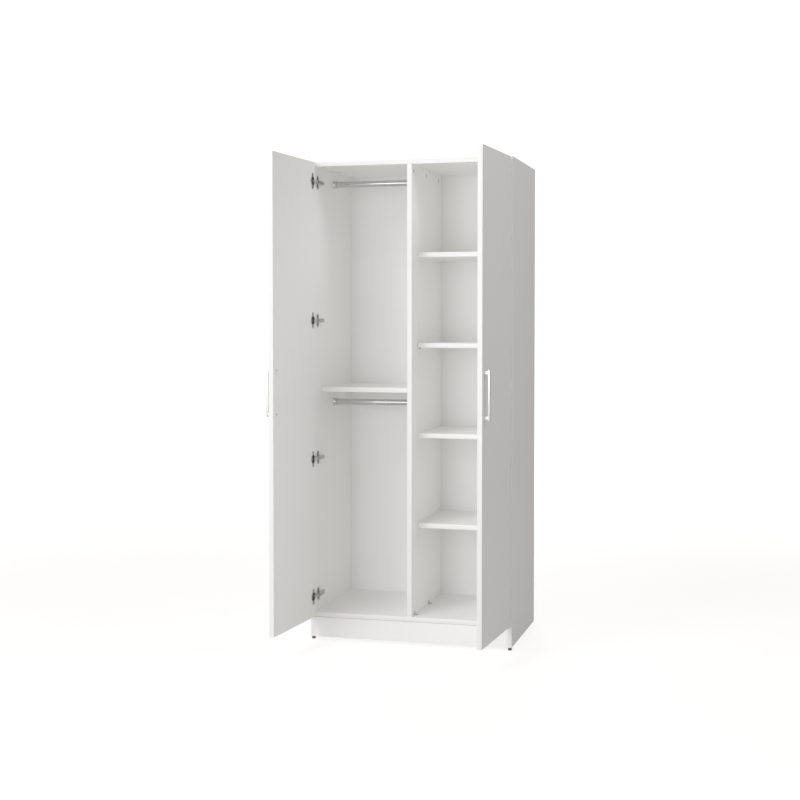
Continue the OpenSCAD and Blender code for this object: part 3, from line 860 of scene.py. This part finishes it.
def divider_brackets():
    """Small folded angles at the foot of the divider, each with two screws."""
    forms = []
    for low, high in solids("divider_brackets"):
        thick, leg = 2 * MM, high.x - low.x
        middle = thick / 2
        path = rounded([(leg, middle), (middle, middle), (middle, leg)], 2.2 * MM, ends=True)
        outline = ribbon(path, thick)
        form = prism(outline, -(high.y - low.y) / 2, (high.y - low.y) / 2, bevel=0.3 * MM)
        upright = axes((1, 0, 0), (0, 0, 1), (0, -1, 0))
        place = Matrix.Translation(centred(low, high, x=low.x, z=low.z))
        forms.append(placed(form, place @ upright))
    piece("divider_angles", gathered(forms), [ZINC], "cabinet", "zinc_plated_steel", "divider_brackets")


def bracket_screws():
    places = []
    for low, high in solids("bracket_screws"):
        size = high - low
        axis = 0 if size.x > size.z else 2
        head = (low + high) / 2
        head[axis] = high[axis] - 1.4 * MM
        direction = Vector((0, 0, 0))
        direction[axis] = 1
        places.append(aimed(head, direction))
    form = screw_form(radius=2.8 * MM, height=1.4 * MM, shank=1.4 * MM, depth=9 * MM)
    form = copies(form, places)
    piece("angle_screw_set", form, [ZINC], "cabinet", "zinc_plated_steel", "bracket_screws")


def back_nails():
    """Nails with a slightly domed head, seen from behind."""
    places = []
    for low, high in solids("back_nails"):
        places.append(aimed(centred(low, high, y=high.y - 0.9 * MM), (0, 1, 0)))
    rings = [(0, -13 * MM), (0.75 * MM, -11.5 * MM), (0.75 * MM, 0), (1.7 * MM, 0)]
    rings += [(1.8 * MM, 0.3 * MM), (1.4 * MM, 0.7 * MM), (0, 0.9 * MM)]
    form = copies(turned(rings, steps=20), places)
    piece("back_nail_set", form, [ZINC], "cabinet", "zinc_plated_steel", "back_nails")


# ---- Pulls ----

def pull_outline(reach, length, pitch):
    """Side outline of a pull, with x out from the door: a flat bar on two feet near its ends."""
    under, end = reach - PULL_BAR, length / 2
    outer, inner = (pitch + PULL_FOOT) / 2, (pitch - PULL_FOOT) / 2
    half = [(under, -inner), (0, -inner), (0, -outer), (under, -outer), (under, -end), (reach, -end)]
    return rounded(half + [(x, -y) for x, y in reversed(half)], 1 * MM, steps=4)


def pulls():
    """Bridge pulls: a flat bar on two feet, all one bent form with eased edges."""
    for side in SIDES:
        low, high = shut_box(f"{side}_handle", side)
        door_low, _ = shut_box(f"{side}_door", side)
        reach, length = door_low.y - low.y, high.z - low.z
        width = high.x - low.x
        ends = [(box[0].z + box[1].z) / 2 for box in solids(f"{side}_handle_screws")]
        outline = pull_outline(reach, length, ends[1] - ends[0])
        form = prism(outline, -width / 2, width / 2, bevel=0.5 * MM, segments=3)
        turn = axes((0, -1, 0), (0, 0, 1), (1, 0, 0))
        place = Matrix.Translation(centred(low, high, y=door_low.y))
        form = placed(form, leaf_matrix(side) @ place @ turn)
        piece(f"{side}_pull", form, [PULL], f"{side}_door_leaf", "pull_metal", f"{side}_handle")


def door_heads(node, side, y):
    """Places for screw heads on the inner face of a door, at the middles of a node's solids."""
    leaf = leaf_matrix(side)
    boxes = solids(node, leaf.inverted())
    return [leaf @ aimed(centred(low, high, y=y), (0, 1, 0)) for low, high in boxes]


def pull_screws():
    for side in SIDES:
        _, door_high = shut_box(f"{side}_door", side)
        form = screw_form(radius=4 * MM, height=2.2 * MM, shank=2 * MM, depth=28 * MM)
        form = copies(form, door_heads(f"{side}_handle_screws", side, door_high.y))
        node = f"{side}_handle_screws"
        piece(f"{side}_pull_screws", form, [NICKEL], f"{side}_door_leaf", "nickelled_steel", node)


# ---- Hinges ----

def stadium_reach(length, width):
    """Distance from the middle of a long round-ended plate to its edge, by angle."""
    end, radius = (length - width) / 2, width / 2

    def reach(angle):
        c, s = abs(math.cos(angle)), abs(math.sin(angle))
        if s > 1e-9 and radius * c / s <= end:
            return radius / s
        return end * c + math.sqrt(max(radius * radius - (end * s) ** 2, 0))

    return reach


def cup_form(flange, depth, flange_radius, wing_length):
    """A pressed cup with a winged flange. Its wings lie along x and its mouth faces +z."""
    wings = stadium_reach(wing_length, CUP_WING)

    def edge(angle):
        return max(flange_radius, wings(angle))

    def eased(angle):
        return edge(angle) - 0.35 * MM

    wall = 1.0 * MM
    bore, floor = CUP_RADIUS - wall, wall - depth
    rings = [(0, floor), (bore - 3.2 * MM, floor), (bore - 1.4 * MM, floor + 0.5 * MM)]
    rings += [(bore - 0.3 * MM, floor + 1.8 * MM), (bore, floor + 3.2 * MM), (bore, -0.6 * MM)]
    rings += [(bore + 0.25 * MM, flange - 0.5 * MM), (bore + 0.8 * MM, flange)]
    rings += [(CUP_RADIUS + 1.3 * MM, flange), (CUP_RADIUS + 1.6 * MM, flange - 0.25 * MM)]
    rings += [(eased, flange - 0.25 * MM), (edge, flange - 0.6 * MM), (edge, 0)]
    rings += [(CUP_RADIUS, 0), (CUP_RADIUS, 3 * MM - depth), (CUP_RADIUS - 0.7 * MM, 1 * MM - depth)]
    rings += [(CUP_RADIUS - 2.4 * MM, -depth), (0, -depth)]
    return turned(rings, steps=96)


def hinge_cups():
    """Each door's cups, let into its inner face."""
    for side in SIDES:
        _, door_high = shut_box(f"{side}_door", side)
        for i in HINGES:
            low, high = shut_box(f"{side}_hinge_cup_{i}", side)
            flange = high.y - door_high.y
            form = cup_form(flange, door_high.y - low.y, (high.x - low.x) / 2, high.z - low.z)
            place = Matrix.Translation(centred(low, high, y=door_high.y))
            turn = axes((0, 0, 1), (1, 0, 0), (0, 1, 0))
            form = placed(form, leaf_matrix(side) @ place @ turn)
            name, node = f"{side}_pressed_cup_{i}", f"{side}_hinge_cup_{i}"
            piece(name, form, [NICKEL], f"{side}_door_leaf", "nickelled_steel", node)


def cup_screws():
    for side in SIDES:
        _, flange_high = shut_box(f"{side}_hinge_cup_1", side)
        form = screw_form(radius=3.4 * MM, height=1.3 * MM, shank=1.7 * MM, depth=11 * MM)
        form = copies(form, door_heads(f"{side}_cup_screws", side, flange_high.y - 0.2 * MM))
        node = f"{side}_cup_screws"
        piece(f"{side}_cup_screw_set", form, [NICKEL], f"{side}_door_leaf", "nickelled_steel", node)


def arm_profile(v):
    """Half width, lower edge and upper edge of the arm's cheeks at a distance back."""
    pin_u, pin_v = PIN_UV
    nose, top, foot = 3.4 * MM, 16.4 * MM, 3.5 * MM
    taper_from, taper_over, taper = 14 * MM, 74 * MM, 1.2 * MM
    slope_from, slope = 62 * MM, 0.15
    drop_from, drop_over = 8 * MM, 6 * MM
    half = 8 * MM - max(0, v - taper_from) / taper_over * taper
    upper = top - max(0, v - slope_from) * slope
    if v < pin_v:
        bulge = math.sqrt(max(nose * nose - (v - pin_v) ** 2, 0))
        return half, pin_u - bulge, pin_u + bulge
    lower = pin_u - nose
    if v > drop_from:
        lower = max(foot, lower - (v - drop_from) / drop_over * (lower - foot))
    return half, lower, upper


def arm_row(v, folded):
    """Points across the arm at a distance back, from one cheek's foot over the top to the other's."""
    half, lower, upper = arm_profile(v)
    corner = 2.2 * MM
    if folded:
        bends = CHEEK_STEPS // 2
        side = [(half, lower + (upper - corner - lower) * k / bends) for k in range(bends + 1)]
        for k in range(1, bends + 1):
            a = math.pi / 2 * k / bends
            side.append((half - corner + corner * math.cos(a), upper - corner + corner * math.sin(a)))
    else:
        side = [(half, lower + (upper - lower) * k / CHEEK_STEPS) for k in range(CHEEK_STEPS + 1)]
    groove = 0.35 * MM if 12 * MM < v < 82 * MM else 0
    flat = (half - corner) * 2
    top = []
    for k in range(1, TOP_STEPS):
        sunk = groove if k in (1, TOP_STEPS - 1) else 0
        top.append((half - corner - flat * k / TOP_STEPS, upper - sunk))
    points = side + top + [(-w, u) for w, u in reversed(side)]
    return [(u, v, w) for w, u in points]


def arm_form():
    """The folded arm as a sheet, given its thickness afterwards. The nose is open for the links."""
    nose = [-4.3, -4.0, -3.2, -2.2, -1, 1, 3, 5]
    back = [6, 8, 11, 14, 20, 30, 45, 62, 75, 84, 88]
    bm = bmesh.new()
    rows = []
    for v in nose + back:
        folded = v in back
        rows.append(([bm.verts.new(point) for point in arm_row(v * MM, folded)], folded))
    for (near, near_folded), (far, far_folded) in zip(rows, rows[1:]):
        last = len(near) - 1
        for k in range(last):
            on_top = CHEEK_STEPS <= k < last - CHEEK_STEPS
            if on_top and not (near_folded and far_folded):
                continue
            bm.faces.new([near[k], near[k + 1], far[k + 1], far[k]])
    loose = [vert for vert in bm.verts if not vert.link_faces]
    bmesh.ops.delete(bm, geom=loose, context="VERTS")
    bmesh.ops.recalc_face_normals(bm, faces=bm.faces)
    return with_modifier(bm, "SOLIDIFY", thickness=1.3 * MM, offset=-1, use_even_offset=True)


def hinge_arms():
    for side in SIDES:
        for i, height in zip(HINGES, hinge_heights(side)):
            form = placed(arm_form(), flipped(side) @ hinge_frame(height))
            name, node = f"{side}_folded_arm_{i}", f"{side}_hinge_arm_{i}"
            piece(name, form, [NICKEL], "cabinet", "nickelled_steel", node, smooth_below=45)


def plate_form(thick, middle_v, rail_height):
    """A mounting plate: screwed wings with a raised rim, and a rail for the arm."""
    wings = stadium_reach(53 * MM, 19 * MM)

    def inset(by):
        return lambda angle: wings(angle) - by

    rings = [(0, 0), (wings, 0), (wings, thick - 0.8 * MM), (inset(0.8 * MM), thick)]
    rings += [(inset(1.8 * MM), thick), (inset(2.4 * MM), thick - 0.5 * MM), (0, thick - 0.5 * MM)]
    turn = axes((0, 0, 1), (0, 1, 0), (1, 0, 0))
    plate = placed(turned(rings, steps=96), Matrix.Translation((0, middle_v, 0)) @ turn)
    rail_low, rail_high = (0.8 * MM, 22 * MM, -6 * MM), (rail_height, 80 * MM, 6 * MM)
    return gathered([plate, box_form(rail_low, rail_high, bevel=1.2 * MM, segments=3)])


def hinge_plates():
    for side in SIDES:
        form = plate_form(thick=3 * MM, middle_v=37 * MM, rail_height=9 * MM)
        form = copies(form, [flipped(side) @ hinge_frame(z) for z in hinge_heights(side)])
        piece(f"{side}_plate_set", form, [NICKEL], "cabinet", "nickelled_steel", f"{side}_hinge_plates")


def inward_heads(node, drop):
    """Places for screw heads at the inner ends of a node's solids, looking into the wardrobe."""
    places = []
    for low, high in solids(node):
        centre = (low + high) / 2
        inward = 1 if centre.x < 0 else -1
        centre.x = (high.x if inward > 0 else low.x) - inward * drop
        places.append(aimed(centre, (inward, 0, 0)))
    return places


def hinge_screws():
    form = screw_form(radius=4.8 * MM, height=1.7 * MM, shank=3 * MM, depth=11 * MM)
    form = copies(form, inward_heads("hinge_plate_screws", 1.6 * MM))
    piece("plate_screw_set", form, [NICKEL], "cabinet", "nickelled_steel", "hinge_plate_screws")
    form = screw_form(radius=3.8 * MM, height=1.3 * MM, shank=2.5 * MM, depth=7 * MM)
    form = copies(form, inward_heads("hinge_arm_screws", 1.3 * MM))
    piece("arm_screw_set", form, [ZINC], "cabinet", "zinc_plated_steel", "hinge_arm_screws")


def link_form():
    """A bent link: an eye on the arm's pin, a strip, and a curled tip in the cup."""
    outline = ribbon(rounded(LINK_PATH, 3 * MM, ends=True), 1.6 * MM)
    strip = prism(outline, -4 * MM, 4 * MM, bevel=0.3 * MM)
    for vert in strip.verts:
        nearness = max(0, 1 - (PIN_UV[1] - vert.co.y) / (14 * MM))
        vert.co.z *= 1 + 0.5 * min(1, nearness)
    eye_rings = [(1.55 * MM, -6.2 * MM), (2.5 * MM, -6.2 * MM), (2.7 * MM, -6 * MM), (2.7 * MM, 6 * MM)]
    eye_rings += [(2.5 * MM, 6.2 * MM), (1.55 * MM, 6.2 * MM)]
    eye = placed(turned(eye_rings, steps=32, closed=True), Matrix.Translation((*PIN_UV, 0)))
    tip_rings = [(0, -4 * MM), (1 * MM, -4 * MM), (1.2 * MM, -3.8 * MM), (1.2 * MM, 3.8 * MM)]
    tip_rings += [(1 * MM, 4 * MM), (0, 4 * MM)]
    tip = placed(turned(tip_rings, steps=24), Matrix.Translation((*LINK_PATH[-1], 0)))
    return gathered([strip, eye, tip])


def hinge_links():
    for side in SIDES:
        places = [link_matrix(side) @ hinge_frame(z) for z in hinge_heights(side)]
        form = copies(link_form(), places)
        node = f"{side}_hinge_links"
        piece(f"{side}_link_set", form, [ZINC], f"{side}_links", "zinc_plated_steel", node)


def hidden_metal():
    """The CAD parts that stay: pins, bolts, dowels and the screws inside the rod sockets."""
    wood = beech()
    kept = {"hinge_pins": ZINC, "cam_bolts": ZINC, "rod_socket_screws": ZINC, "dowels": wood}
    for node, material in kept.items():
        mesh = frame["nodes"][node].data
        mesh.materials.clear()
        mesh.materials.append(material)


# ---- Stage ----

def fade_out(material, solid, near, far):
    """Makes a material clearer with distance from the middle of its piece."""
    place = add_node(material, "ShaderNodeTexCoord")
    distance = add_node(material, "ShaderNodeVectorMath")
    distance.operation = "LENGTH"
    fade = add_node(material, "ShaderNodeMapRange")
    fade.interpolation_type = "SMOOTHSTEP"
    for name, value in (("From Min", near), ("From Max", far), ("To Min", solid), ("To Max", 0)):
        fade.inputs[name].default_value = value
    link(material, place.outputs["Object"], distance.inputs[0])
    link(material, distance.outputs["Value"], fade.inputs["Value"])
    link(material, fade.outputs["Result"], shader_of(material).inputs["Alpha"])


def stage_floor():
    material = new_material("studio_floor", (0.93, 0.93, 0.925), 0.6)
    soft = noise(material, 3, Detail=2)
    tone = ramp(material, soft, [(0.3, (0.94, 0.9, 0.84)), (0.7, (0.95, 0.912, 0.855))])
    use_color(material, tone)
    fade_out(material, FLOOR_SOLID, *FLOOR_FADE)
    mesh = bpy.data.meshes.new("floor")
    corners = [(x * FLOOR_REACH, y * FLOOR_REACH, 0) for x, y in ((-1, -1), (1, -1), (1, 1), (-1, 1))]
    mesh.from_pydata(corners, [], [(0, 1, 2, 3)])
    mesh.materials.append(material)
    floor = new_object("floor", mesh)


def studio_world():
    """Even light from all round; the camera sees plain white."""
    world = bpy.data.worlds.new("studio")
    bpy.context.scene.world = world
    world.use_nodes = True
    nodes, links = world.node_tree.nodes, world.node_tree.links
    background = nodes["Background"]
    background.inputs["Color"].default_value = (1, 0.99, 0.975, 1)
    path = nodes.new("ShaderNodeLightPath")
    choose = nodes.new("ShaderNodeMix")
    choose.inputs["A"].default_value = SKY_LIGHT
    choose.inputs["B"].default_value = BACKDROP
    links.new(path.outputs["Is Camera Ray"], choose.inputs["Factor"])
    links.new(choose.outputs["Result"], background.inputs["Strength"])


def softbox(name, place, target, size, power):
    light = bpy.data.lights.new(name, "AREA")
    light.shape = "RECTANGLE"
    light.size, light.size_y = size
    light.energy = power
    holder = new_object(name, light)
    holder.location = place
    holder.rotation_euler = (Vector(target) - Vector(place)).to_track_quat("-Z", "Y").to_euler()


def studio_lights():
    softbox("front_light", (-0.5, -5.4, 1.2), (0, 0, 0.85), (1.4, 2.6), 62)
    softbox("strip_light", (-1.75, -5.2, 1.6), (0, 0, 1.3), (0.9, 1.5), 16)
    softbox("high_light", (-2.4, -5, 4.8), (0, 0, 0.85), (2.2, 2.5), 175)
    softbox("left_light", (-4.4, -3.9, 1.5), (0, 0, 0.85), (2, 2), 56)
    softbox("right_light", (3, -1.5, 4), (0.4, 0, 1.6), (1.5, 1.5), 39)
    softbox("back_light", (-0.8, 5.2, 2.2), (0, 0, 0.95), (2.6, 2.2), 70)


def studio_camera():
    camera = bpy.data.cameras.new("camera")
    camera.sensor_width = 36
    camera.lens = 63.6
    camera.shift_y = -0.04
    holder = new_object("camera", camera)
    holder.location = (1.3698, -5.4844, 1.2493)
    holder.rotation_euler = (math.radians(90 - 1.919), 0, math.radians(15.046))
    bpy.context.scene.camera = holder


def studio():
    view = bpy.context.scene.view_settings
    view.view_transform = "Standard"
    view.gamma = SOFT_CURVE
    studio_camera()
    studio_world()
    studio_lights()
    stage_floor()


# ---- The scene ----

studio()
carcass_boards()
kick_board()
back_panels()
doors()
rods()
rod_sockets()
glides()
shelf_pins()
cams()
divider_brackets()
bracket_screws()
back_nails()
pulls()
pull_screws()
hinge_cups()
cup_screws()
hinge_arms()
hinge_plates()
hinge_screws()
hinge_links()
hidden_metal()
